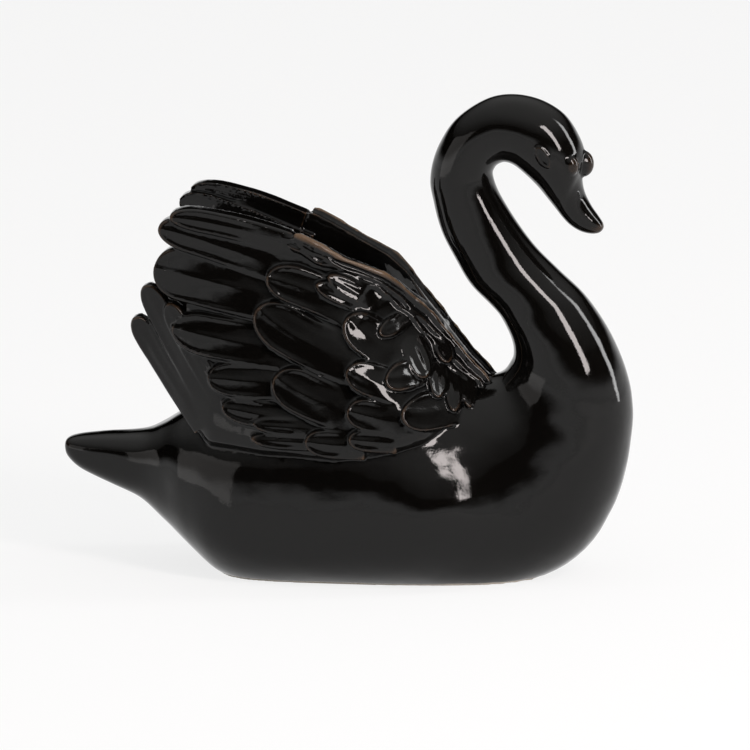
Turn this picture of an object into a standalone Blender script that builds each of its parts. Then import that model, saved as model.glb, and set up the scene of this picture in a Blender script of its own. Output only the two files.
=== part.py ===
"""Swan figurine in glazed porcelain, cast in one piece with raised wings.

Metres, Z up. The swan looks along +X, its middle plane is y = 0, and the
origin is the centre of its base on the surface it stands on.
"""

import math

import bmesh
import bpy
from mathutils import Matrix, Vector

# Lengths below are in millimetres and MM turns them into metres
MM = 0.001

# Body, neck and head: back x, z, belly x, z, half width, height share of the widest place,
# squareness above and below it
BODY = [
    (-110.2, 44.6, -110.0, 43.0, 1.6, 0.5, 2.0, 2.0),
    (-109.6, 47.4, -108.6, 40.2, 5.4, 0.5, 2.6, 2.2),
    (-105.0, 49.0, -103.0, 35.8, 8.4, 0.5, 2.8, 2.4),
    (-94.0, 50.2, -92.0, 30.8, 11.0, 0.5, 2.8, 2.4),
    (-80.0, 51.7, -80.0, 25.6, 14.5, 0.5, 2.6, 2.4),
    (-72.0, 55.0, -69.0, 16.0, 20.5, 0.45, 2.5, 2.4),
    (-62.0, 61.0, -58.0, 6.4, 29.5, 0.4, 2.4, 2.4),
    (-48.0, 67.0, -46.0, -1.8, 38.0, 0.36, 2.4, 2.4),
    (-28.0, 72.0, -30.0, -5.0, 42.5, 0.34, 2.4, 2.4),
    (0.0, 74.5, 0.0, -5.0, 45.0, 0.34, 2.4, 2.4),
    (25.0, 75.5, 30.0, -5.0, 43.0, 0.34, 2.4, 2.4),
    (45.0, 76.0, 63.0, -4.0, 35.0, 0.35, 2.3, 2.4),
    (58.0, 78.0, 89.0, 7.4, 29.0, 0.38, 2.2, 2.2),
    (63.0, 83.5, 103.6, 29.4, 25.4, 0.42, 2.1, 2.0),
    (64.0, 88.3, 108.8, 52.0, 22.8, 0.46, 2.1, 2.0),
    (62.6, 94.0, 109.2, 72.0, 21.4, 0.5, 2.0, 2.0),
    (58.6, 101.5, 102.8, 91.0, 19.4, 0.5, 2.0, 2.0),
    (54.8, 105.5, 92.6, 107.4, 17.0, 0.5, 2.0, 2.0),
    (47.2, 113.0, 81.4, 118.4, 15.5, 0.5, 2.0, 2.0),
    (42.1, 121.3, 72.4, 127.3, 13.8, 0.5, 2.0, 2.0),
    (36.0, 133.1, 65.0, 137.0, 12.8, 0.5, 2.0, 2.0),
    (32.6, 145.7, 58.2, 148.0, 12.4, 0.5, 2.0, 2.0),
    (31.5, 154.3, 55.6, 155.2, 12.2, 0.5, 2.0, 2.0),
    (34.1, 165.4, 56.6, 158.6, 12.2, 0.5, 2.0, 2.0),
    (41.3, 176.7, 58.5, 160.2, 12.4, 0.5, 2.0, 2.0),
    (52.3, 184.6, 61.0, 160.8, 12.8, 0.5, 2.0, 2.0),
    (62.6, 187.0, 64.4, 159.6, 13.4, 0.5, 2.0, 2.0),
    (73.6, 185.2, 68.6, 156.2, 14.0, 0.5, 2.0, 2.0),
    (82.9, 179.8, 73.3, 151.6, 13.8, 0.5, 2.0, 2.0),
    (88.6, 171.7, 77.2, 146.8, 12.6, 0.5, 2.0, 2.0),
    (91.2, 164.0, 80.2, 143.0, 10.5, 0.5, 2.0, 2.0),
    (90.2, 157.0, 82.5, 140.0, 8.0, 0.5, 2.0, 2.0),
    (90.8, 150.5, 85.5, 136.9, 6.6, 0.5, 2.0, 2.0),
    (93.5, 144.7, 89.5, 134.5, 5.6, 0.5, 2.0, 2.0),
    (96.5, 140.4, 93.5, 133.6, 4.4, 0.5, 2.0, 2.0),
    (98.3, 137.6, 96.5, 133.9, 2.8, 0.5, 2.0, 2.0),
    (98.5, 135.8, 98.1, 135.1, 0.6, 0.5, 2.0, 2.0),
]
RING_STEPS = 3
RING_POINTS = 36

# Knob over the bill, its side lobes and the nostrils: x, y, z and the three radii
KNOB = (90.4, 0.0, 160.8, 4.3, 3.8, 5.2)
LOBES = [(87.2, side, 162.0, 3.4, 2.6, 3.4) for side in (-7.4, 7.4)]
NOSTRILS = [(88.8, side, 148.6, 1.5, 1.2, 3.2) for side in (-4.4, 4.4)]

# Outer side of a wing: half width of the bird against x, low down and at the top
SIDE_LOW = [
    (-85, 15),
    (-75, 17),
    (-60, 29),
    (-48, 36.5),
    (-28, 42.5),
    (0, 44.5),
    (25, 42.5),
    (45, 34.5),
    (58, 26),
]
SIDE_TOP = [(-65, 28), (20, 24)]
SIDE_Z = (50, 140)

# Front edge of a wing from the breast up to the top: x, y, z
FRONT_EDGE = [
    (57.8, 7, 75.0),
    (53.7, 6.5, 79.4),
    (47.2, 6.5, 85.9),
    (40.6, 7, 94.2),
    (33.7, 8, 102.9),
    (27.5, 11, 109.4),
    (20.8, 15.5, 116.4),
    (13.7, 20, 121.2),
    (1.6, 24, 126.6),
    (-6, 25, 130.6),
    (-17, 26, 136.0),
]
FRONT_ROLL = 30
FRONT_CURVE = 1.6
FRONT_BEAD = 1.8

# Core of a wing: its top, the half width of the valley between the wings, its least thickness,
# the height where it leaves the body, and how it is set under the feathers
CORE_TOP = [
    (-59, 124),
    (-56, 137),
    (-45, 138),
    (-30, 135),
    (-16, 134.6),
    (-6, 129.6),
    (1.6, 125.6),
    (13.7, 120.2),
    (20.8, 115.4),
    (27.5, 108.4),
    (33.7, 101.9),
    (40.6, 93.2),
    (47.2, 84.9),
    (53.7, 78.4),
    (57.8, 74.0),
]
VALLEY = [(-60, 21), (-20, 22), (0, 20), (14, 14), (24, 6), (30, -1)]
CORE_LEAST = 7
SIDE_LEAST = 6
CORE_FOOT = [(-59, 56), (-50, 44), (0, 41), (15, 43), (34, 48), (45, 54), (58, 61)]
CORE_SECTIONS = 30
CORE_STEPS = 12
UNDER_FEATHERS = 0.6
CREST = 1.3
FOOT_TUCK = 22
FOOT_RISE = 16
LOWEST_FOOT = 14

# Feathers from tip to root: tip x, z, middle x, z, root x, z, half width, round, lift, slope, thickness
STEEP = [
    (-79.4, 101, -72, 83, -52, 60, 4.6, 0.2, 0.2, 0.2, 7),
    (-75.2, 114, -65, 92, -45, 63, 5.2, 0.2, 0.8, 0.2, 7),
    (-66.5, 107.5, -57, 89, -39, 64, 4.4, 0.2, 1.2, 0.2, 7),
]
FLIGHT = [
    (-44, 69.8, -32, 68, -10, 66, 5.2, 0.4, 1.2, 0.7, 7),
    (-50, 80.5, -38, 80, -14, 80, 6.6, 0.4, 1.5, 0.7, 8),
    (-64.5, 98.5, -48, 95, -14, 92, 8.0, 0.35, 1.8, 0.8, 9.5),
    (-71.2, 121.5, -52, 117.2, -14, 110, 10.2, 0.25, 2.1, 0.8, 9.5),
    (-69.4, 137.3, -50, 132.4, -18, 120.5, 6.2, 0.3, 2.3, 0.6, 8.5),
    (-65, 141.8, -43, 139.5, -20, 131, 4.4, 0.3, 2.8, 0.4, 8.5),
]
COVERTS = [
    (-31.5, 64.5, -20, 63.5, -6, 63, 3.4, 0.5, 1.4, 0.5, 4),
    (-32, 58.6, -20, 58, -4, 57.5, 3.2, 0.5, 0.9, 0.5, 4),
    (-10.6, 59, -3, 57.5, 12, 57, 5.4, 0.5, 2.2, 0.6, 5),
    (-22.8, 83, -12, 75, 8, 69, 8.2, 0.4, 2.6, 0.7, 5),
    (-30.2, 108, -19, 97, 7, 88, 8.8, 0.4, 3.0, 0.7, 5),
    (-27.5, 119.5, -14, 116.5, 7, 106, 7.0, 0.4, 3.0, 0.7, 5),
    (-8.5, 117, 0, 113, 10, 108, 3.4, 0.5, 3.0, 0.4, 4),
    (-4, 120, 4, 115, 14, 109, 3.6, 0.5, 3.2, 0.4, 4),
]
SHOULDER = [
    (6.2, 60.5, 12, 59, 24, 58.5, 4.2, 0.5, 2.0, 0.5, 4),
    (5.5, 71.5, 12, 69, 25, 66, 6.0, 0.5, 2.3, 0.6, 4),
    (5, 86.5, 12, 82, 25, 78, 6.0, 0.5, 2.6, 0.6, 4),
    (4, 105, 10, 98, 22, 90, 6.6, 0.5, 2.8, 0.6, 4),
    (26.4, 71, 35, 67.5, 47, 70, 6.8, 0.5, 2.2, 0.6, 4),
    (19.4, 83, 25, 82, 36, 84, 5.2, 0.5, 2.8, 0.4, 4),
    (15.5, 99, 20, 99, 26, 104, 3.4, 0.5, 2.8, 0.2, 4),
    (34, 81, 31, 87, 25.5, 96, 3.8, 0.5, 2.6, 0.2, 4),
    (39, 73.5, 38, 79, 35.5, 87, 3.2, 0.5, 2.6, 0.2, 4),
    (41.3, 85, 39, 89, 35, 96, 2.8, 0.5, 2.6, 0.2, 4),
    (44.8, 68, 44, 74, 41, 83, 2.9, 0.5, 2.6, 0.0, 4),
    (50, 68.6, 49, 74, 46, 82, 2.6, 0.5, 2.6, 0.0, 4),
]
ROOT_DIVE = 1.2
EDGE_DROP = 0.8
CROWN = 0.5
BACK_CHAMFER = 1.0

# Finish of the mesh: grid, passes of smoothing and the share of triangles kept
GRID = 1.3
SMOOTH_PASSES = 2
KEPT_SHARE = 0.073

# Foot and the vent hole that lets a hollow casting breathe in the kiln
FOOT_BLOCK = (400, 200, 100)
VENT_X = -8
VENT_RADIUS = 4.5
VENT_DEPTH = 5

GLAZE = (0.010, 0.009, 0.009, 1.0)
GLAZE_ROUGHNESS = 0.08


def along(table, x):
    """Straight-line reading of a table of pairs, held at its ends."""
    rows = sorted(table)
    if x <= rows[0][0]:
        return rows[0][1]
    for (x0, y0), (x1, y1) in zip(rows, rows[1:]):
        if x <= x1:
            return y0 + (y1 - y0) * (x - x0) / (x1 - x0)
    return rows[-1][1]


def ease(t):
    """Smooth step from 0 to 1."""
    t = min(1.0, max(0.0, t))
    return t * t * (3 - 2 * t)


def smooth_rows(rows, steps):
    """Rows of numbers with smooth in-between rows added."""
    out = []
    for i in range(len(rows) - 1):
        p = [rows[max(0, i - 1)], rows[i], rows[i + 1], rows[min(len(rows) - 1, i + 2)]]
        for step in range(steps):
            t = step / steps
            weights = (
                (-t + 2 * t**2 - t**3) / 2,
                (2 - 5 * t**2 + 3 * t**3) / 2,
                (t + 4 * t**2 - 3 * t**3) / 2,
                (-(t**2) + t**3) / 2,
            )
            out.append([sum(w * q[k] for w, q in zip(weights, p)) for k in range(len(p[0]))])
    return out + [list(rows[-1])]


def loft(bm, rings):
    """Closed skin through rings of points, pushed out one ring at a time."""
    disc = bmesh.ops.create_circle(bm, cap_ends=True, segments=len(rings[0]), radius=1.0)
    face = disc["verts"][0].link_faces[0]
    for number, ring in enumerate(rings):
        if number:
            pushed = bmesh.ops.extrude_face_region(bm, geom=[face])["geom"]
            face = next(item for item in pushed if isinstance(item, bmesh.types.BMFace))
        for vert, point in zip(face.verts, ring):
            vert.co = Vector(point) * MM


def body_rings():
    rings = []
    for bx, bz, vx, vz, width, share, above, below in smooth_rows(BODY, RING_STEPS):
        back, belly = Vector((bx, 0, bz)), Vector((vx, 0, vz))
        middle = belly.lerp(back, share)
        ring = []
        for i in range(RING_POINTS):
            turn = 2 * math.pi * i / RING_POINTS
            upper = math.cos(turn) > 0
            squareness = above if upper else below
            rise = abs(math.cos(turn)) ** (2 / squareness)
            reach = math.copysign(abs(math.sin(turn)) ** (2 / squareness), math.sin(turn))
            edge = middle.lerp(back if upper else belly, rise)
            ring.append(edge + Vector((0, width * reach, 0)))
        rings.append(ring)
    return rings


def wing_side(x, z):
    """Distance of a wing's outer side from the middle plane."""
    k = ease((z - SIDE_Z[0]) / (SIDE_Z[1] - SIDE_Z[0]))
    y = along(SIDE_LOW, x) * (1 - k) + along(SIDE_TOP, x) * k
    spot = Vector((x, z))
    nearest, edge_y = FRONT_ROLL, y
    for a, b in zip(FRONT_EDGE, FRONT_EDGE[1:]):
        start, run = Vector((a[0], a[2])), Vector((b[0] - a[0], b[2] - a[2]))
        share = min(1.0, max(0.0, (spot - start).dot(run) / run.length_squared))
        distance = (spot - start - run * share).length
        if distance < nearest:
            nearest, edge_y = distance, a[1] + (b[1] - a[1]) * share
    return edge_y + (y - edge_y) * (1 - (1 - nearest / FRONT_ROLL) ** FRONT_CURVE)


def core_rings(side):
    """Upright sections of a wing's core, from the rear to the front."""
    start, end = CORE_TOP[0][0], CORE_TOP[-1][0]
    rings = []
    for i in range(CORE_SECTIONS + 1):
        x = start + (end - start) * i / CORE_SECTIONS
        top = along(CORE_TOP, x)
        foot = min(along(CORE_FOOT, x), top - LOWEST_FOOT)
        outer, inner = [], []
        for step in range(CORE_STEPS + 1):
            z = foot + (top - foot) * step / CORE_STEPS
            tuck = FOOT_TUCK * (1 - ease((z - foot) / FOOT_RISE)) ** 2
            y = max(SIDE_LEAST, wing_side(x, z) - UNDER_FEATHERS - tuck)
            valley = min(along(VALLEY, x), y - CORE_LEAST)
            crest = CREST if step == CORE_STEPS else 0
            outer.append((x, side * y, z - crest))
            inner.append((x, side * (valley + crest), z))
        rings.append(outer + inner[::-1])
    return rings


def feather_rings(row, side):
    """Sections of one feather, laid on the wing's outer side."""
    tip, middle, root = Vector(row[0:2]), Vector(row[2:4]), Vector(row[4:6])
    half, rounding, lift, slope, thick = row[6:11]
    rings = []
    for s in (0.004, 0.03, 0.08, 0.15, 0.25, 0.4, 0.55, 0.7, 0.85, 1.0):
        spine = tip * (1 - s) ** 2 + middle * 2 * s * (1 - s) + root * s**2
        heading = (middle - tip) * (1 - s) + (root - middle) * s
        across = Vector((-heading.y, heading.x)).normalized()
        if across.y > 0:
            across = -across
        width = half * math.sqrt(1 - (1 - min(1.0, s / rounding)) ** 2)
        height = lift * (1 - s**1.5) - ROOT_DIVE * s**1.5
        outer, inner = [], []
        for t in (-1, -0.8, -0.4, 0, 0.4, 0.8, 1):
            x, z = spine + across * width * t
            crown = -EDGE_DROP if abs(t) == 1 else CROWN * (1 - abs(t))
            y = wing_side(x, z) + height + slope * t + crown
            outer.append((x, side * y, z))
            chamfer = BACK_CHAMFER if abs(t) == 1 else 0
            inner.append((x, side * (y - thick + chamfer), z))
        rings.append(outer + inner[::-1])
    return rings


def bead_rings(side):
    """Rounded bead along the front edge of a wing."""
    path = [Vector((x, side * y, z)) for x, y, z in FRONT_EDGE]
    rings = []
    for i, spot in enumerate(path):
        run = (path[min(i + 1, len(path) - 1)] - path[max(i - 1, 0)]).normalized()
        out = Vector((0, side, 0)).cross(run).normalized()
        across = run.cross(out)
        radius = FRONT_BEAD * (0.6 if i in (0, len(path) - 1) else 1.0)
        turns = [2 * math.pi * k / 8 for k in range(8)]
        rings.append([spot + out * radius * math.cos(t) + across * radius * math.sin(t) for t in turns])
    return rings


def ball(bm, row):
    x, y, z, rx, ry, rz = (value * MM for value in row)
    matrix = Matrix.Translation((x, y, z)) @ Matrix.Diagonal((rx, ry, rz, 1))
    bmesh.ops.create_icosphere(bm, subdivisions=3, radius=1.0, matrix=matrix)


def cutter(name, bm):
    """Object that only cuts, drawn as wires."""
    mesh = bpy.data.meshes.new(name)
    bm.to_mesh(mesh)
    bm.free()
    obj = bpy.data.objects.new(name, mesh)
    obj.hide_render = True
    obj.display_type = "WIRE"
    bpy.context.scene.collection.objects.link(obj)
    return obj


for old in list(bpy.data.objects):
    bpy.data.objects.remove(old, do_unlink=True)

# Whole swan: body, knob, wing cores, front beads and feathers
bm = bmesh.new()
loft(bm, body_rings())
for row in [KNOB, *LOBES, *NOSTRILS]:
    ball(bm, row)
for side in (-1, 1):
    loft(bm, core_rings(side))
    loft(bm, bead_rings(side))
    for row in STEEP + FLIGHT + COVERTS + SHOULDER:
        loft(bm, feather_rings(row, side))
bmesh.ops.recalc_face_normals(bm, faces=bm.faces)
mesh = bpy.data.meshes.new("swan")
bm.to_mesh(mesh)
bm.free()
swan = bpy.data.objects.new("swan", mesh)
bpy.context.scene.collection.objects.link(swan)

glaze = bpy.data.materials.new("black_glaze")
glaze.use_nodes = True
shader = glaze.node_tree.nodes["Principled BSDF"]
shader.inputs["Base Color"].default_value = GLAZE
shader.inputs["Roughness"].default_value = GLAZE_ROUGHNESS
shader.inputs["Metallic"].default_value = 0.0
mesh.materials.append(glaze)

# One skin over all the forms, smoothed
skin = swan.modifiers.new("one_skin", "REMESH")
skin.mode = "VOXEL"
skin.voxel_size = GRID * MM
skin.use_smooth_shade = True
soften = swan.modifiers.new("soften", "SMOOTH")
soften.factor = 0.5
soften.iterations = SMOOTH_PASSES

# Flat foot at z = 0 and the vent hole in it, then fewer triangles
below = bmesh.new()
block = Vector(FOOT_BLOCK) * MM
placed = Matrix.Translation((0, 0, -block.z / 2)) @ Matrix.Diagonal((*block, 1))
bmesh.ops.create_cube(below, size=1.0, matrix=placed)
foot_cut = cutter("foot_cut", below)
vent = bmesh.new()
deep = VENT_DEPTH * MM
bmesh.ops.create_cone(
    vent,
    cap_ends=True,
    segments=24,
    radius1=VENT_RADIUS * MM,
    radius2=VENT_RADIUS * MM,
    depth=2 * deep,
    matrix=Matrix.Translation((VENT_X * MM, 0, 0)),
)
vent_cut = cutter("vent_cut", vent)
for tool in (foot_cut, vent_cut):
    cut = swan.modifiers.new(tool.name, "BOOLEAN")
    cut.operation = "DIFFERENCE"
    cut.solver = "EXACT"
    cut.object = tool
thin = swan.modifiers.new("thin_out", "DECIMATE")
thin.ratio = KEPT_SHARE
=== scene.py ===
"""Looks of the glazed porcelain swan: the cast form, its glaze, and the set it is seen in."""

import math

import bmesh
import bpy
import numpy as np
from mathutils import Matrix, Vector, noise
from mathutils.bvhtree import BVHTree


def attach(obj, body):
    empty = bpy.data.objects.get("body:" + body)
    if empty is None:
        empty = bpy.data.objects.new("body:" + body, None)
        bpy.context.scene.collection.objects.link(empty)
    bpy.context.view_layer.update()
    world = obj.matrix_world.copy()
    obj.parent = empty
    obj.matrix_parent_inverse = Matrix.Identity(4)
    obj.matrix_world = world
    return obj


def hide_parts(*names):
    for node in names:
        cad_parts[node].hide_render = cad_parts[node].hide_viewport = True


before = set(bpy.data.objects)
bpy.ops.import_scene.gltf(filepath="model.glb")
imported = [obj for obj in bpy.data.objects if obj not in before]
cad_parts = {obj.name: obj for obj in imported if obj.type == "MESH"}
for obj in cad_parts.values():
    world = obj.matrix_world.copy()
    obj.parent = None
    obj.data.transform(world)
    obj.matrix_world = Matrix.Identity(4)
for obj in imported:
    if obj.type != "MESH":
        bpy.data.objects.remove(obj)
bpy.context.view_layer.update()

# Body, neck and head: the slip-cast porcelain shell that carries everything else.
# One skin is drawn through rounded sections, from the tail's end along the back and the
# belly, up the neck and over to the tip of the bill.
MM = 0.001
BODY = [
    # back x, z, belly x, z, half width, height share of the widest place, squareness above, below
    (-110.2, 44.6, -110.0, 43.0, 1.6, 0.5, 2.0, 2.0),
    (-109.6, 47.4, -108.6, 40.2, 5.4, 0.5, 2.6, 2.2),
    (-105.0, 49.0, -103.0, 35.8, 8.4, 0.5, 2.8, 2.4),
    (-94.0, 50.2, -92.0, 30.8, 11.0, 0.5, 2.8, 2.4),
    (-80.0, 51.7, -80.0, 25.6, 14.5, 0.5, 2.6, 2.4),
    (-72.0, 55.0, -69.0, 16.0, 20.5, 0.45, 2.5, 2.4),
    (-62.0, 61.0, -58.0, 6.4, 29.5, 0.4, 2.4, 2.4),
    (-48.0, 67.0, -46.0, -1.8, 38.0, 0.36, 2.4, 2.4),
    (-28.0, 72.0, -30.0, -5.0, 42.5, 0.34, 2.4, 2.4),
    (0.0, 74.5, 0.0, -5.0, 45.0, 0.34, 2.4, 2.4),
    (25.0, 75.5, 30.0, -5.0, 43.0, 0.34, 2.4, 2.4),
    (45.0, 76.0, 63.0, -4.0, 35.0, 0.35, 2.3, 2.4),
    (58.0, 78.0, 89.0, 7.4, 29.0, 0.38, 2.2, 2.2),
    (63.0, 83.5, 103.6, 29.4, 25.4, 0.42, 2.1, 2.0),
    (64.0, 88.3, 108.8, 52.0, 22.8, 0.46, 2.1, 2.0),
    (62.6, 94.0, 109.2, 72.0, 21.4, 0.5, 2.0, 2.0),
    (58.6, 101.5, 102.8, 91.0, 19.4, 0.5, 2.0, 2.0),
    (54.8, 105.5, 92.6, 107.4, 17.0, 0.5, 2.0, 2.0),
    (47.2, 113.0, 81.4, 118.4, 15.5, 0.5, 2.0, 2.0),
    (42.1, 121.3, 72.4, 127.3, 13.8, 0.5, 2.0, 2.0),
    (36.0, 133.1, 65.0, 137.0, 12.8, 0.5, 2.0, 2.0),
    (32.6, 145.7, 58.2, 148.0, 12.4, 0.5, 2.0, 2.0),
    (31.5, 154.3, 55.6, 155.2, 12.2, 0.5, 2.0, 2.0),
    (34.1, 165.4, 56.6, 158.6, 12.2, 0.5, 2.0, 2.0),
    (41.3, 176.7, 58.5, 160.2, 12.4, 0.5, 2.0, 2.0),
    (52.3, 184.6, 61.0, 160.8, 12.8, 0.5, 2.0, 2.0),
    (62.6, 187.0, 64.4, 159.6, 13.4, 0.5, 2.0, 2.0),
    (73.6, 185.2, 68.6, 156.2, 14.0, 0.5, 2.0, 2.0),
    (82.9, 179.8, 73.3, 151.6, 13.8, 0.5, 2.0, 2.0),
    (88.6, 171.7, 77.2, 146.8, 12.6, 0.5, 2.0, 2.0),
    (91.2, 164.0, 80.2, 143.0, 10.5, 0.5, 2.0, 2.0),
    (90.2, 157.0, 82.5, 140.0, 8.0, 0.5, 2.0, 2.0),
    (90.8, 150.5, 85.5, 136.9, 6.6, 0.5, 2.0, 2.0),
    (93.5, 144.7, 89.5, 134.5, 5.6, 0.5, 2.0, 2.0),
    (96.5, 140.4, 93.5, 133.6, 4.4, 0.5, 2.0, 2.0),
    (98.3, 137.6, 96.5, 133.9, 2.8, 0.5, 2.0, 2.0),
    (98.5, 135.8, 98.1, 135.1, 0.6, 0.5, 2.0, 2.0),
]
BODY_STEPS = 6
BODY_POINTS = 96


def smooth_rows(rows, steps):
    """Rows of numbers with smooth in-between rows added."""
    out = []
    for i in range(len(rows) - 1):
        p = [rows[max(0, i - 1)], rows[i], rows[i + 1], rows[min(len(rows) - 1, i + 2)]]
        for step in range(steps):
            t = step / steps
            weights = (
                (-t + 2 * t**2 - t**3) / 2,
                (2 - 5 * t**2 + 3 * t**3) / 2,
                (t + 4 * t**2 - 3 * t**3) / 2,
                (-(t**2) + t**3) / 2,
            )
            out.append([sum(w * q[k] for w, q in zip(weights, p)) for k in range(len(p[0]))])
    return out + [list(rows[-1])]


def as_object(name, bm):
    """New object in the scene from a bmesh."""
    mesh = bpy.data.meshes.new(name)
    bm.to_mesh(mesh)
    bm.free()
    obj = bpy.data.objects.new(name, mesh)
    bpy.context.scene.collection.objects.link(obj)
    return obj


def applied(obj):
    """Its modifiers become its mesh."""
    graph = bpy.context.evaluated_depsgraph_get()
    mesh = bpy.data.meshes.new_from_object(obj.evaluated_get(graph))
    obj.modifiers.clear()
    obj.data = mesh


def cast(form, obj):
    """Adds an object's mesh to the form and removes the object."""
    form.from_mesh(obj.data)
    bpy.data.objects.remove(obj)


def loft(rings):
    """Closed skin through rings of points, pushed out one ring at a time."""
    bm = bmesh.new()
    disc = bmesh.ops.create_circle(bm, cap_ends=True, segments=len(rings[0]), radius=1.0)
    face = disc["verts"][0].link_faces[0]
    for number, ring in enumerate(rings):
        if number:
            pushed = bmesh.ops.extrude_face_region(bm, geom=[face])["geom"]
            face = next(item for item in pushed if isinstance(item, bmesh.types.BMFace))
        for vert, point in zip(face.verts, ring):
            vert.co = Vector(point) * MM
    bmesh.ops.recalc_face_normals(bm, faces=bm.faces)
    return as_object("loft", bm)


def body_rings():
    """Sections of the body, each squarer or rounder above and below its widest place."""
    rings = []
    for bx, bz, vx, vz, width, share, above, below in smooth_rows(BODY, BODY_STEPS):
        back, belly = Vector((bx, 0, bz)), Vector((vx, 0, vz))
        middle = belly.lerp(back, share)
        ring = []
        for i in range(BODY_POINTS):
            turn = 2 * math.pi * i / BODY_POINTS
            upper = math.cos(turn) > 0
            squareness = above if upper else below
            rise = abs(math.cos(turn)) ** (2 / squareness)
            reach = math.copysign(abs(math.sin(turn)) ** (2 / squareness), math.sin(turn))
            edge = middle.lerp(back if upper else belly, rise)
            ring.append((edge.x, width * reach, max(0.0, edge.z)))
        rings.append(ring)
    return rings


form = bmesh.new()
cast(form, loft(body_rings()))

# Head: the knob at the root of the bill with a lobe on each side, the nostrils, and the
# almond rims of the eyes, all pressed from the same mould as the neck.
KNOB = (90.4, 0.0, 160.8, 4.3, 3.8, 5.2)
LOBE = (86.2, 8.8, 161.6, 3.8, 3.3, 4.4)
NOSTRIL = (88.8, 4.4, 148.6, 1.5, 1.2, 3.2)
EYE_AT = (76.8, 165.6)
EYE_HALF = (4.2, 1.7)
EYE_TILT = -58
EYE_RIM = 0.72
EYE_POINTS = 40
EYE_POINTED = 0.35
EYE_PROUD = 0.1
BEAD_POINTS = 8
ACROSS = Vector((0, 1, 0))


def ball(row, side=1):
    """Rounded lump: middle x, y, z and its three radii."""
    x, y, z, rx, ry, rz = (value * MM for value in row)
    matrix = Matrix.Translation((x, side * y, z)) @ Matrix.Diagonal((rx, ry, rz, 1))
    bm = bmesh.new()
    bmesh.ops.create_icosphere(bm, subdivisions=4, radius=1.0, matrix=matrix)
    cast(form, as_object("ball", bm))


def tube(path, radius):
    """Round bead along a path."""
    rings = []
    for i, spot in enumerate(path):
        run = (path[min(i + 1, len(path) - 1)] - path[max(i - 1, 0)]).normalized()
        out = ACROSS.cross(run).normalized()
        across = run.cross(out)
        turns = [2 * math.pi * k / BEAD_POINTS for k in range(BEAD_POINTS)]
        rings.append([spot + out * radius * math.cos(t) + across * radius * math.sin(t) for t in turns])
    return loft(rings)


head = BVHTree.FromBMesh(form)
eye_path = []
tilt = math.radians(EYE_TILT)
for k in range(EYE_POINTS + 1):
    turn = 2 * math.pi * k / EYE_POINTS
    along_eye = EYE_HALF[0] * math.cos(turn)
    over_eye = EYE_HALF[1] * math.sin(turn) * (1 - EYE_POINTED * abs(math.cos(turn)) ** 3)
    x = EYE_AT[0] + along_eye * math.cos(tilt) - over_eye * math.sin(tilt)
    z = EYE_AT[1] + along_eye * math.sin(tilt) + over_eye * math.cos(tilt)
    skin_at = head.ray_cast(Vector((x, -100, z)) * MM, ACROSS)[0]
    eye_path.append(Vector((x, -skin_at.y / MM + EYE_PROUD, z)))
ball(KNOB)
for side in (-1, 1):
    ball(LOBE, side)
    ball(NOSTRIL, side)
    cast(form, tube([Vector((spot.x, side * spot.y, spot.z)) for spot in eye_path], EYE_RIM))

# Wings: two raised shells with a valley between them, each closing forward in a rolled
# edge that runs down to the breast.
SIDE_LOW = [
    (-85, 15),
    (-75, 17),
    (-60, 29),
    (-48, 36.5),
    (-28, 42.5),
    (0, 44.5),
    (25, 42.5),
    (45, 34.5),
    (58, 26),
]
SIDE_TOP = [(-65, 28), (20, 24)]
SIDE_Z = (50, 140)
FRONT_EDGE = [
    (57.8, 7, 75.0),
    (53.7, 6.5, 79.4),
    (47.2, 6.5, 85.9),
    (40.6, 7, 94.2),
    (33.7, 8, 102.9),
    (27.5, 11, 109.4),
    (20.8, 15.5, 116.4),
    (13.7, 20, 121.2),
    (1.6, 24, 126.6),
    (-6, 25, 130.6),
    (-17, 26, 136.0),
]
FRONT_ROLL = 30
FRONT_CURVE = 1.6
CORE_TOP = [
    (-59, 124),
    (-56, 137),
    (-45, 138),
    (-30, 135),
    (-16, 134.6),
    (-6, 129.6),
    (1.6, 125.6),
    (13.7, 120.2),
    (20.8, 115.4),
    (27.5, 108.4),
    (33.7, 101.9),
    (40.6, 93.2),
    (47.2, 84.9),
    (53.7, 78.4),
    (57.8, 74.0),
]
VALLEY = [(-60, 21), (-20, 22), (0, 20), (14, 14), (24, 6), (30, -1)]
CORE_LEAST = 7
CORE_FOOT = [(-59, 56), (-50, 44), (0, 41), (15, 43), (34, 48), (45, 54), (58, 61)]
CORE_SECTIONS = 60
CORE_STEPS = 24
UNDER_FEATHERS = 0.6
CREST = 0.7
FOOT_TUCK = 22
FOOT_RISE = 16
LOWEST_FOOT = 14


def along(table, x):
    """Straight-line reading of a table of pairs, held at its ends."""
    rows = sorted(table)
    if x <= rows[0][0]:
        return rows[0][1]
    for (x0, y0), (x1, y1) in zip(rows, rows[1:]):
        if x <= x1:
            return y0 + (y1 - y0) * (x - x0) / (x1 - x0)
    return rows[-1][1]


def ease(t):
    """Smooth step from 0 to 1."""
    t = min(1.0, max(0.0, t))
    return t * t * (3 - 2 * t)


def wing_side(x, z):
    """Distance of a wing's outer side from the middle plane."""
    k = ease((z - SIDE_Z[0]) / (SIDE_Z[1] - SIDE_Z[0]))
    y = along(SIDE_LOW, x) * (1 - k) + along(SIDE_TOP, x) * k
    spot = Vector((x, z))
    nearest, edge_y = FRONT_ROLL, y
    for a, b in zip(FRONT_EDGE, FRONT_EDGE[1:]):
        start, run = Vector((a[0], a[2])), Vector((b[0] - a[0], b[2] - a[2]))
        share = min(1.0, max(0.0, (spot - start).dot(run) / run.length_squared))
        distance = (spot - start - run * share).length
        if distance < nearest:
            nearest, edge_y = distance, a[1] + (b[1] - a[1]) * share
    return edge_y + (y - edge_y) * (1 - (1 - nearest / FRONT_ROLL) ** FRONT_CURVE)


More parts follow.
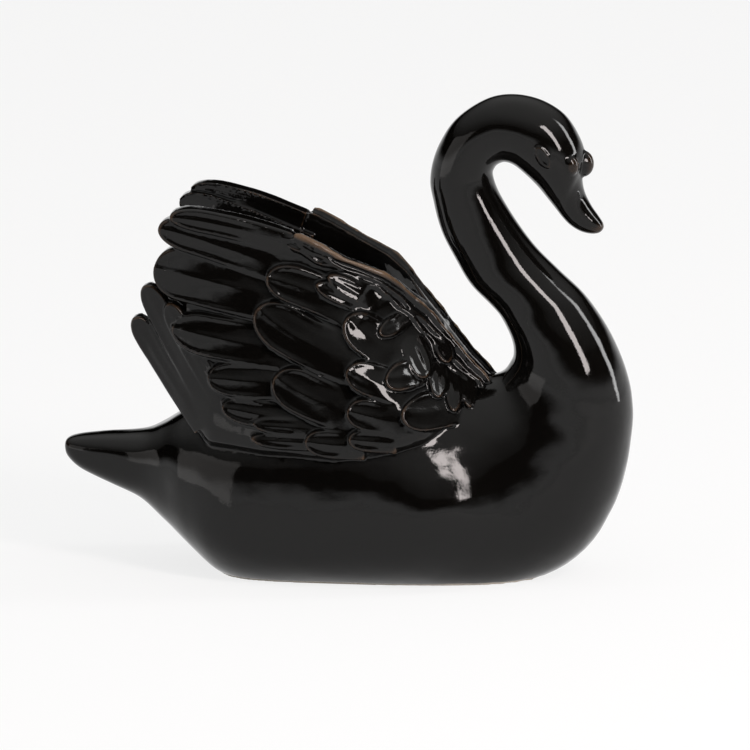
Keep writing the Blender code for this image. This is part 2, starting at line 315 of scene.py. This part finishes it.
def core_rings(side):
    """Upright sections of a wing's core, from the rear to the front."""
    start, end = CORE_TOP[0][0], CORE_TOP[-1][0]
    rings = []
    for i in range(CORE_SECTIONS + 1):
        x = start + (end - start) * i / CORE_SECTIONS
        top = along(CORE_TOP, x)
        foot = min(along(CORE_FOOT, x), top - LOWEST_FOOT)
        outer, inner = [], []
        for step in range(CORE_STEPS + 1):
            z = foot + (top - foot) * step / CORE_STEPS
            tuck = FOOT_TUCK * (1 - ease((z - foot) / FOOT_RISE)) ** 2
            y = max(CORE_LEAST - 1, wing_side(x, z) - UNDER_FEATHERS - tuck)
            valley = min(along(VALLEY, x), y - CORE_LEAST)
            crest = CREST if step == CORE_STEPS else 0
            outer.append((x, side * y, z - crest))
            inner.append((x, side * (valley + crest), z))
        rings.append(outer + inner[::-1])
    return rings


for side in (-1, 1):
    cast(form, loft(core_rings(side)))

# Front edge of each wing: three fine ridges side by side, uneven as a hand-finished mould
# leaves them, where the glaze runs thin and the clay shows through.
EDGE_MEETS = [(63.5, 0.5, 72.5), (61.4, 4.2, 73.0)]
# Rows: distance in from the edge, radius, distance out from the wing's side
RIDGES = [(1.1, 1.35, -0.3), (3.7, 0.85, -0.1), (5.8, 0.7, -0.1)]
RIDGE_POINTS = 10
RIDGE_WAVE = 0.6
RIDGE_WANDER = 1.3
EDGE_WANDER_SHARE = 0.2
WANDER_GRAIN = 0.14
WANDER_PLACE = (1, 5)
WAVE_GRAIN = 0.2
WAVE_PLACE = (7, 3)
RIDGE_STEPS = 4
END_TAPER = 0.5


def ridge_rings(side, inset, radius, out_by):
    """Round bead that follows the front edge."""
    on_edge = inset == RIDGES[0][0]
    rows = smooth_rows((EDGE_MEETS if on_edge else []) + FRONT_EDGE, RIDGE_STEPS)
    path = [Vector((x, y, z)) for x, y, z in rows]
    beads = []
    for i, spot in enumerate(path):
        run = path[min(i + 1, len(path) - 1)] - path[max(i - 1, 0)]
        inward = run.cross(ACROSS).normalized()
        wander = RIDGE_WANDER * noise.noise(spot * WANDER_GRAIN + Vector((inset, *WANDER_PLACE)))
        middle = spot + inward * (inset + (EDGE_WANDER_SHARE * wander if on_edge else wander))
        if spot.x < FRONT_EDGE[0][0]:
            middle.y = wing_side(middle.x, middle.z) + out_by
        beads.append(middle)
    rings = []
    for i, middle in enumerate(beads):
        run = (beads[min(i + 1, len(beads) - 1)] - beads[max(i - 1, 0)]).normalized()
        inward = run.cross(ACROSS).normalized()
        across = inward.cross(run)
        wave = noise.noise(middle * WAVE_GRAIN + Vector((inset, *WAVE_PLACE)))
        size = radius * (1 + RIDGE_WAVE * wave)
        size *= END_TAPER if i in (0, len(beads) - 1) else 1.0
        ring = []
        for k in range(RIDGE_POINTS):
            turn = 2 * math.pi * k / RIDGE_POINTS
            point = middle + (inward * math.cos(turn) + across * math.sin(turn)) * size
            ring.append((point.x, side * point.y, point.z))
        rings.append(ring)
    return rings


for side in (-1, 1):
    for inset, radius, out_by in RIDGES:
        cast(form, loft(ridge_rings(side, inset, radius, out_by)))

# Feathers: long flight feathers behind, coverts over their roots and small shoulder
# feathers in front, each a low shell with a raised rim and a faint quill.
# Columns: tip x, z, middle x, z, root x, z, half width, round, lift, slope, thickness
STEEP = [
    (-79.4, 101, -72, 83, -52, 60, 4.6, 0.2, 0.2, 0.2, 7),
    (-75.2, 114, -65, 92, -45, 63, 5.2, 0.2, 0.8, 0.2, 7),
    (-66.5, 107.5, -57, 89, -39, 64, 4.4, 0.2, 1.2, 0.2, 7),
]
FLIGHT = [
    (-44, 69.8, -32, 68, -10, 66, 5.2, 0.4, 1.2, 0.7, 7),
    (-50, 80.5, -38, 80, -14, 80, 6.6, 0.4, 1.5, 0.7, 8),
    (-64.5, 98.5, -48, 95, -14, 92, 8.0, 0.35, 1.8, 0.8, 9.5),
    (-71.2, 121.5, -52, 117.2, -14, 110, 10.2, 0.25, 2.1, 0.8, 9.5),
    (-69.4, 137.3, -50, 132.4, -18, 120.5, 6.2, 0.3, 2.3, 0.6, 8.5),
    (-65, 141.8, -43, 139.5, -20, 131, 4.4, 0.3, 2.8, 0.4, 8.5),
]
COVERTS = [
    (-31.5, 64.5, -20, 63.5, -6, 63, 3.4, 0.5, 1.4, 0.5, 4),
    (-32, 58.6, -20, 58, -4, 57.5, 3.2, 0.5, 0.9, 0.5, 4),
    (-10.6, 59, -3, 57.5, 12, 57, 5.4, 0.5, 2.2, 0.6, 5),
    (-22.8, 83, -12, 75, 8, 69, 8.2, 0.4, 2.6, 0.7, 5),
    (-30.2, 108, -19, 97, 7, 88, 8.8, 0.4, 3.0, 0.7, 5),
    (-27.5, 119.5, -14, 116.5, 7, 106, 7.0, 0.4, 3.0, 0.7, 5),
    (-8.5, 117, 0, 113, 10, 108, 3.4, 0.5, 3.0, 0.4, 4),
    (-4, 120, 4, 115, 14, 109, 3.6, 0.5, 3.2, 0.4, 4),
]
SHOULDER = [
    (6.2, 60.5, 12, 59, 24, 58.5, 4.2, 0.5, 2.0, 0.5, 4),
    (5.5, 71.5, 12, 69, 25, 66, 6.0, 0.5, 2.3, 0.6, 4),
    (5, 86.5, 12, 82, 25, 78, 6.0, 0.5, 2.6, 0.6, 4),
    (4, 105, 10, 98, 22, 90, 6.6, 0.5, 2.8, 0.6, 4),
    (26.4, 71, 35, 67.5, 47, 70, 6.8, 0.5, 2.2, 0.6, 4),
    (19.4, 83, 25, 82, 36, 84, 5.2, 0.5, 2.8, 0.4, 4),
    (15.5, 99, 20, 99, 26, 104, 3.4, 0.5, 2.8, 0.2, 4),
    (34, 81, 31, 87, 25.5, 96, 3.8, 0.5, 2.6, 0.2, 4),
    (39, 73.5, 38, 79, 35.5, 87, 3.2, 0.5, 2.6, 0.2, 4),
    (41.3, 85, 39, 89, 35, 96, 2.8, 0.5, 2.6, 0.2, 4),
    (44.8, 68, 44, 74, 41, 83, 2.9, 0.5, 2.6, 0.0, 4),
    (50, 68.6, 49, 74, 46, 82, 2.6, 0.5, 2.6, 0.0, 4),
]
ROOT_DIVE = 1.2
EDGE_DROP = 0.8
FEATHER_ROWS = 34
FEATHER_COLUMNS = 14
RIM_FROM_EDGE = 0.9
RIM_HALF = 0.75
RIM_RISE = 0.55
QUILL_RISE = 0.25
QUILL_HALF = 0.9
FIRST_ROW = 0.003
ROW_CROWDING = 1.7
COLUMN_CROWDING = 1.4
LIFT_FALL = 1.5
CROWN = 0.5
DETAIL_FADE = (0.45, 0.4)
FALL_REACH = 0.5
UNDERSIDE_ROUND = 1.0


def feather_rings(row, side):
    """Sections of one feather, laid on the wing's outer side."""
    tip, middle, root = Vector(row[0:2]), Vector(row[2:4]), Vector(row[4:6])
    half, rounding, lift, slope, thick = row[6:11]
    length = (middle - tip).length + (root - middle).length
    rings = []
    for step in range(FEATHER_ROWS + 1):
        s = max(FIRST_ROW, (step / FEATHER_ROWS) ** ROW_CROWDING)
        spine = tip * (1 - s) ** 2 + middle * 2 * s * (1 - s) + root * s**2
        heading = (middle - tip) * (1 - s) + (root - middle) * s
        across = Vector((-heading.y, heading.x)).normalized()
        if across.y > 0:
            across = -across
        short = 1 - min(1.0, s / rounding)
        width = half * math.sqrt(1 - short**2)
        height = lift * (1 - s**LIFT_FALL) - ROOT_DIVE * s**LIFT_FALL
        outer, inner = [], []
        for k in range(-FEATHER_COLUMNS, FEATHER_COLUMNS + 1):
            t = k / FEATHER_COLUMNS
            t = math.copysign(1 - (1 - abs(t)) ** COLUMN_CROWDING, t)
            x, z = spine + across * width * t
            reach = math.hypot(short, width * t / half)
            slant = math.hypot(short / (rounding * length), width * t / half**2) / max(reach, 1e-6)
            inward = (1 - reach) / max(slant, 1e-6)
            rim = RIM_RISE * math.exp(-(((inward - RIM_FROM_EDGE) / RIM_HALF) ** 2))
            quill = QUILL_RISE * math.exp(-((width * t / QUILL_HALF) ** 2))
            fade = 1 - ease((s - DETAIL_FADE[0]) / DETAIL_FADE[1])
            fall = EDGE_DROP * ease(1 - inward / FALL_REACH)
            y = wing_side(x, z) + height + slope * t + CROWN * (1 - abs(t)) - fall
            y += (rim + quill) * fade
            outer.append((x, side * y, z))
            under = y - thick + (UNDERSIDE_ROUND if abs(k) == FEATHER_COLUMNS else 0)
            inner.append((x, side * under, z))
        rings.append(outer + inner[::-1])
    return rings


for side in (-1, 1):
    for row in STEEP + FLIGHT + COVERTS + SHOULDER:
        cast(form, loft(feather_rings(row, side)))

# Casting: all forms become one skin of porcelain, rounded as the glaze flows over them. The
# foot is wiped flat before firing, and has the round vent hole of a hollow casting.
GRID = 0.5
SOFTENING = 5
SOFTEN_BY = 0.5
FLAT_UNDER = 0.25
SWELL = 0.36
SWELL_LENGTH = 21
FINE_SWELL = (0.35, 0.4)
SWELL_FROM_FOOT = (1, 8)
NECK_SWELL = 0.03
NECK_FROM = (30, 62)
NECK_OVER = (20, 30)
FLANK = (38, 30, 18, 4.2)
FLANK_FROM = 10
VENT_X = -8
VENT_RADIUS = 4.9
VENT_DEPTH = 5
VENT_WALL = 0.9
TRIANGLES = 190000
swan = as_object("swan_glaze", form)
skin = swan.modifiers.new("one_skin", "REMESH")
skin.mode = "VOXEL"
skin.voxel_size = GRID * MM
soften = swan.modifiers.new("soften", "SMOOTH")
soften.factor = SOFTEN_BY
soften.iterations = SOFTENING
applied(swan)
outward = [vert.normal.copy() for vert in swan.data.vertices]
for vert, normal in zip(swan.data.vertices, outward):
    spot = vert.co / MM
    if spot.z < FLAT_UNDER:
        inward = VENT_RADIUS - math.hypot(spot.x - VENT_X, spot.y)
        vert.co.z = VENT_DEPTH * MM * ease(inward / VENT_WALL)
        continue
    calm = ease((spot.z - NECK_FROM[1]) / NECK_OVER[1]) * ease((spot.x - NECK_FROM[0]) / NECK_OVER[0])
    swell = noise.noise(spot / SWELL_LENGTH)
    swell += FINE_SWELL[0] * noise.noise(spot / (SWELL_LENGTH * FINE_SWELL[1]))
    most = SWELL * (1 - calm) + NECK_SWELL * calm
    swell *= most * ease((spot.z - SWELL_FROM_FOOT[0]) / SWELL_FROM_FOOT[1])
    if abs(spot.y) > FLANK_FROM:
        away = math.hypot(spot.x - FLANK[0], spot.z - FLANK[1]) / FLANK[2]
        swell += FLANK[3] * math.exp(-(away**2))
    vert.co += normal * swell * MM
thin = swan.modifiers.new("thin", "DECIMATE")
thin.ratio = min(1.0, TRIANGLES / (2 * len(swan.data.polygons)))
applied(swan)
swan.data.shade_smooth()
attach(swan, "root")
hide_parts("swan")

# Glaze: near-black and glossy over the white clay. It runs thin on every ridge, where the
# brown of its edge shows, and nearly off the wings' front edges, and pools in the grooves.
SPREAD_PASSES = 14
RIDGE_FULL = 0.32
FRONT_REACH = 3.2
FRONT_STEPS = 8
FINE_EDGE = 0.75
mesh = swan.data
count = len(mesh.vertices)
points = np.empty(count * 3, np.float32)
mesh.vertices.foreach_get("co", points)
points = points.reshape(-1, 3) / MM
normals = np.empty(count * 3, np.float32)
mesh.vertices.foreach_get("normal", normals)
normals = normals.reshape(-1, 3)
ends = np.empty(len(mesh.edges) * 2, np.int32)
mesh.edges.foreach_get("vertices", ends)
ends = ends.reshape(-1, 2)
degree = np.bincount(ends.ravel(), minlength=count)[:, None]


def spread(values):
    """Mean of each point's neighbours along the edges."""
    total = np.zeros_like(values)
    for k in range(values.shape[1]):
        total[:, k] = np.bincount(ends[:, 0], values[ends[:, 1], k], count)
        total[:, k] += np.bincount(ends[:, 1], values[ends[:, 0], k], count)
    return total / np.maximum(degree, 1)


calm_points = points.copy()
for _ in range(SPREAD_PASSES):
    calm_points = 0.5 * calm_points + 0.5 * spread(calm_points)
lengths = np.linalg.norm(points[ends[:, 0]] - points[ends[:, 1]], axis=1)
spacing = np.bincount(ends[:, 0], lengths, count) + np.bincount(ends[:, 1], lengths, count)
spacing /= degree[:, 0]
for _ in range(SPREAD_PASSES):
    spacing = spread(spacing[:, None])[:, 0]
ridge = np.einsum("ij,ij->i", points - calm_points, normals) / RIDGE_FULL
ridge *= np.minimum(1.0, FINE_EDGE / spacing) ** 2
front_line = np.array(smooth_rows(EDGE_MEETS + FRONT_EDGE, FRONT_STEPS), np.float32)
mirrored = np.stack((points[:, 0], np.abs(points[:, 1]), points[:, 2]), axis=1)
nearest = np.full(count, 1e9, np.float32)
for spot in front_line:
    nearest = np.minimum(nearest, np.linalg.norm(mirrored - spot, axis=1))
front = np.clip(1 - nearest / FRONT_REACH, 0, 1)
for name, values in (("ridge", ridge), ("front", front)):
    layer = mesh.attributes.new(name, "FLOAT", "POINT")
    layer.data.foreach_set("value", values.astype(np.float32))

GLAZE = (0.0026, 0.0023, 0.002, 1.0)
POOLED = (0.0012, 0.0012, 0.0012, 1.0)
BROWN = (0.075, 0.043, 0.024, 1.0)
UMBER = (0.11, 0.07, 0.042, 1.0)
BEIGE = (0.4, 0.29, 0.2, 1.0)
CLAY = (0.72, 0.66, 0.58, 1.0)
BENDING = 1.4
REFLECTION = 0.41
PATCH_GRAIN = 90
PATCH_SHARE = 0.35
POOLED_FROM = (-0.1, -0.9)
THIN_FROM = (0.5, 1.8)
THIN_MOST = 0.55
FRONT_FROM = (0.25, 0.75)
BARE_RIDGE_FROM = (0.1, 0.9)
FOOT_LINE = (0.0018, 0.0011)
FOOT_LINE_WANDER = 0.0008
BEIGE_BELOW = (0.135, 0.1)
BEIGE_WANDER = 0.03
RUBBED_GRAIN = (340, 3.0)
RUBBED_FROM = (0.42, 0.62)
SHEEN_GRAIN = (260, 4.0)
SHEEN_FROM = (0.3, 0.8)
GLAZE_ROUGH = (0.035, 0.075)
FRONT_ROUGH = 0.12
FOOT_ROUGH = 0.6
# Clouds to a metre, their detail, strength, depth in metres
WAVES = (130, 1.0, 0.16, 0.0006)
PITS = (1400, 2.0, 0.06, 0.0002)
RANGE = ("From Min", "From Max", "To Min", "To Max")
glaze = bpy.data.materials.new("black_glaze")
glaze.use_nodes = True
nodes, links = glaze.node_tree.nodes, glaze.node_tree.links
shader = nodes["Principled BSDF"]
shader.inputs["IOR"].default_value = BENDING
shader.inputs["Specular IOR Level"].default_value = REFLECTION


def node(kind, **values):
    """New node with its settings."""
    made = nodes.new(kind)
    for name, value in values.items():
        setattr(made, name, value)
    return made


def attribute(name):
    """Value stored on the skin under this name."""
    return node("ShaderNodeAttribute", attribute_name=name).outputs["Fac"]


def step(value, low, high, to_low=0.0, to_high=1.0):
    """Value eased from low to high."""
    ramp = node("ShaderNodeMapRange", interpolation_type="SMOOTHSTEP", clamp=True)
    for socket, number in zip(RANGE, (low, high, to_low, to_high)):
        ramp.inputs[socket].default_value = number
    links.new(value, ramp.inputs["Value"])
    return ramp.outputs["Result"]


def math_of(operation, first, second):
    """Sum, difference or product of two values, each a number or a socket."""
    made = node("ShaderNodeMath", operation=operation)
    for socket, value in zip(made.inputs, (first, second)):
        if isinstance(value, (int, float)):
            socket.default_value = value
        else:
            links.new(value, socket)
    return made.outputs[0]


def blend_colour(share, first, second):
    """First colour, turning to the second by a share."""
    made = node("ShaderNodeMix", data_type="RGBA")
    links.new(share, made.inputs["Factor"])
    for socket, value in zip((made.inputs[6], made.inputs[7]), (first, second)):
        if isinstance(value, tuple):
            socket.default_value = value
        else:
            links.new(value, socket)
    return made.outputs[2]


place = node("ShaderNodeTexCoord").outputs["Object"]


def grain(scale, detail=2.0):
    """Cloudy noise over the swan, with this many clouds to a metre."""
    made = node("ShaderNodeTexNoise")
    made.inputs["Scale"].default_value = scale
    made.inputs["Detail"].default_value = detail
    made.inputs["Roughness"].default_value = 0.5
    links.new(place, made.inputs["Vector"])
    return made.outputs["Fac"]


def bump(scale, detail, strength, depth):
    """Relief of the glaze made by cloudy noise."""
    made = node("ShaderNodeBump")
    made.inputs["Strength"].default_value = strength
    made.inputs["Distance"].default_value = depth
    links.new(grain(scale, detail), made.inputs["Height"])
    return made


patchy = grain(PATCH_GRAIN)
patches = math_of("MULTIPLY", math_of("SUBTRACT", patchy, 0.5), PATCH_SHARE)
ridge_at = math_of("ADD", attribute("ridge"), patches)
pooled = step(ridge_at, *POOLED_FROM)
thin_glaze = math_of("MULTIPLY", step(ridge_at, *THIN_FROM), THIN_MOST)
front_bare = math_of("MULTIPLY", step(attribute("front"), *FRONT_FROM), step(ridge_at, *BARE_RIDGE_FROM))
position = node("ShaderNodeSeparateXYZ")
links.new(place, position.inputs[0])
above_floor = position.outputs["Z"]
foot_bare = step(math_of("ADD", above_floor, math_of("MULTIPLY", patchy, FOOT_LINE_WANDER)), *FOOT_LINE)
colour = blend_colour(pooled, GLAZE, POOLED)
colour = blend_colour(thin_glaze, colour, BROWN)
low_down = step(math_of("ADD", above_floor, math_of("MULTIPLY", patchy, BEIGE_WANDER)), *BEIGE_BELOW)
rubbed = math_of("MULTIPLY", low_down, step(grain(*RUBBED_GRAIN), *RUBBED_FROM))
bare_colour = blend_colour(rubbed, UMBER, BEIGE)
colour = blend_colour(front_bare, colour, bare_colour)
colour = blend_colour(foot_bare, colour, CLAY)
links.new(colour, shader.inputs["Base Color"])
rough = step(grain(*SHEEN_GRAIN), *SHEEN_FROM, *GLAZE_ROUGH)
rough = math_of("ADD", rough, math_of("MULTIPLY", front_bare, FRONT_ROUGH))
rough = math_of("ADD", rough, math_of("MULTIPLY", foot_bare, FOOT_ROUGH))
links.new(rough, shader.inputs["Roughness"])
waves = bump(*WAVES)
pits = bump(*PITS)
links.new(waves.outputs[0], pits.inputs["Normal"])
links.new(pits.outputs[0], shader.inputs["Normal"])
swan.data.materials.clear()
swan.data.materials.append(glaze)

# Set: a plain white floor and a round white wall that fades upward into a room, dark at eye
# level and light overhead. Two lamps stand at the right and a weak panel at the left, placed
# by their angle from the camera.
bpy.context.scene.view_settings.view_transform = "Standard"
WHITE = (0.85, 0.85, 0.85, 1.0)
ROOM_RADIUS = 12.0
ROOM_SEGMENTS = 96
FLOOR_SINK = 0.0001
FLOOR_LIT = 0.2
WALL_HEIGHT = 5.0
WALL_FADES = (0.5, 2.6)
HORIZON = (0.03, 0.029, 0.028, 1)
HORIZON_END = 0.25
OVERHEAD = (0.8, 0.8, 0.79, 1)
LAMP_CENTRE = 0.09


def set_material(name, lit_share, fades=None):
    """White that is seen as white itself for a share, and takes light and shadow for the rest."""
    material = bpy.data.materials.new(name)
    material.use_nodes = True
    tree = material.node_tree
    tree.nodes.clear()
    output = tree.nodes.new("ShaderNodeOutputMaterial")
    mix = tree.nodes.new("ShaderNodeMixShader")
    paint = tree.nodes.new("ShaderNodeBsdfDiffuse")
    paint.inputs["Color"].default_value = WHITE
    white = tree.nodes.new("ShaderNodeEmission")
    path = tree.nodes.new("ShaderNodeLightPath")
    seen = tree.nodes.new("ShaderNodeMath")
    seen.operation = "MAXIMUM"
    seen_through = tree.nodes.new("ShaderNodeMath")
    seen_through.operation = "MAXIMUM"
    share = tree.nodes.new("ShaderNodeMath")
    share.operation = "MULTIPLY"
    share.inputs[1].default_value = 1 - lit_share
    tree.links.new(path.outputs["Is Camera Ray"], seen.inputs[0])
    tree.links.new(path.outputs["Is Glossy Ray"], seen.inputs[1])
    tree.links.new(seen.outputs[0], seen_through.inputs[0])
    tree.links.new(path.outputs["Is Transmission Ray"], seen_through.inputs[1])
    tree.links.new(seen_through.outputs[0], share.inputs[0])
    if fades:
        where = tree.nodes.new("ShaderNodeTexCoord")
        level = tree.nodes.new("ShaderNodeSeparateXYZ")
        fade = tree.nodes.new("ShaderNodeMapRange")
        fade.interpolation_type = "SMOOTHSTEP"
        for socket, number in zip(RANGE, (*fades, 1.0, 0.0)):
            fade.inputs[socket].default_value = number
        tree.links.new(where.outputs["Object"], level.inputs[0])
        tree.links.new(level.outputs["Z"], fade.inputs["Value"])
        tree.links.new(fade.outputs["Result"], white.inputs["Strength"])
    tree.links.new(share.outputs[0], mix.inputs["Fac"])
    tree.links.new(paint.outputs[0], mix.inputs[1])
    tree.links.new(white.outputs[0], mix.inputs[2])
    tree.links.new(mix.outputs[0], output.inputs["Surface"])
    return material


AZIMUTH = 8
ELEVATION = 12
a, e = math.radians(AZIMUTH), math.radians(ELEVATION)
toward = Vector((math.sin(a) * math.cos(e), -math.cos(a) * math.cos(e), math.sin(e)))
rightward = Vector((math.cos(a), math.sin(a), 0))
upward = toward.cross(rightward)
floor_form = bmesh.new()
bmesh.ops.create_circle(
    floor_form,
    cap_ends=True,
    segments=ROOM_SEGMENTS,
    radius=ROOM_RADIUS,
    matrix=Matrix.Translation((0, 0, -FLOOR_SINK)),
)
floor = as_object("floor", floor_form)
floor.data.materials.append(set_material("floor_white", FLOOR_LIT))
wall_form = bmesh.new()
bmesh.ops.create_cone(
    wall_form,
    cap_ends=False,
    segments=ROOM_SEGMENTS,
    radius1=ROOM_RADIUS,
    radius2=ROOM_RADIUS,
    depth=WALL_HEIGHT,
    matrix=Matrix.Translation((0, 0, WALL_HEIGHT / 2)),
)
wall = as_object("wall", wall_form)
wall.data.materials.append(set_material("wall_white", 0.0, WALL_FADES))

world = bpy.data.worlds.new("room")
world.use_nodes = True
tree = world.node_tree
sky_way = tree.nodes.new("ShaderNodeTexCoord")
parts = tree.nodes.new("ShaderNodeSeparateXYZ")
ramp = tree.nodes.new("ShaderNodeValToRGB")
ramp.color_ramp.interpolation = "EASE"
ramp.color_ramp.elements[0].position = HORIZON_END
ramp.color_ramp.elements[0].color = HORIZON
ramp.color_ramp.elements[1].position = 1.0
ramp.color_ramp.elements[1].color = OVERHEAD
tree.links.new(sky_way.outputs["Generated"], parts.inputs[0])
tree.links.new(parts.outputs["Z"], ramp.inputs["Fac"])
tree.links.new(ramp.outputs["Color"], tree.nodes["Background"].inputs["Color"])
bpy.context.scene.world = world


def lamp(name, azimuth, elevation, distance, width, height, strength, colour, soft=0.0, lean=0):
    """Oblong lamp that faces the swan, placed by its angle from the camera's side."""
    h, v = math.radians(AZIMUTH + azimuth), math.radians(elevation)
    place = Vector((math.sin(h) * math.cos(v), -math.cos(h) * math.cos(v), math.sin(v))) * distance
    light = bpy.data.lights.new(name, "AREA")
    light.shape = "RECTANGLE"
    light.size, light.size_y = width, height
    light.energy = strength * width * height * math.pi
    light.color = colour
    if soft:
        light.use_nodes = True
        tree = light.node_tree
        glow = tree.nodes["Emission"]
        spot = tree.nodes.new("ShaderNodeNewGeometry")
        offset = tree.nodes.new("ShaderNodeVectorMath")
        offset.operation = "SUBTRACT"
        offset.inputs[1].default_value = (0.5, 0.5, 0.0)
        length = tree.nodes.new("ShaderNodeVectorMath")
        length.operation = "LENGTH"
        fade = tree.nodes.new("ShaderNodeMapRange")
        fade.interpolation_type = "SMOOTHSTEP"
        for socket, number in zip(RANGE, (0.5, 0.5 - soft, 0.0, 1.0)):
            fade.inputs[socket].default_value = number
        tree.links.new(spot.outputs["Parametric"], offset.inputs[0])
        tree.links.new(offset.outputs["Vector"], length.inputs[0])
        tree.links.new(length.outputs["Value"], fade.inputs["Value"])
        tree.links.new(fade.outputs["Result"], glow.inputs["Strength"])
    obj = bpy.data.objects.new(name, light)
    facing = place.to_track_quat("Z", "Y").to_matrix().to_4x4()
    facing = facing @ Matrix.Rotation(math.radians(lean), 4, "Z")
    obj.matrix_world = Matrix.Translation(place + Vector((0, 0, LAMP_CENTRE))) @ facing
    obj.visible_camera = False
    bpy.context.scene.collection.objects.link(obj)


lamp("window", 40, 30, 1.6, 0.28, 1.05, 21, (1.0, 0.92, 0.9), lean=20)
lamp("soft_right", 97, 20, 1.6, 0.34, 2.2, 11, (1.0, 1.0, 1.0), soft=0.25)
lamp("left_panel", -68, 9, 1.8, 1.5, 1.1, 0.9, (1.0, 0.96, 0.93))

# Camera: at the photograph's angle, far enough away to draw the swan nearly without depth.
DISTANCE = 8.0
LOOK_RIGHT = 0.010
LOOK_UP = 0.0738
VIEW_WIDTH = 750 / 2600
SENSOR = 36
NEAREST_SEEN = 0.01
FARTHEST_SEEN = 40
look = rightward * LOOK_RIGHT + upward * LOOK_UP
camera = bpy.data.objects.new("camera", bpy.data.cameras.new("camera"))
camera.location = look + toward * DISTANCE
camera.rotation_euler = toward.to_track_quat("Z", "Y").to_euler()
camera.data.sensor_width = SENSOR
camera.data.lens = SENSOR * DISTANCE / VIEW_WIDTH
camera.data.clip_start = NEAREST_SEEN
camera.data.clip_end = FARTHEST_SEEN
bpy.context.scene.collection.objects.link(camera)
bpy.context.scene.camera = camera
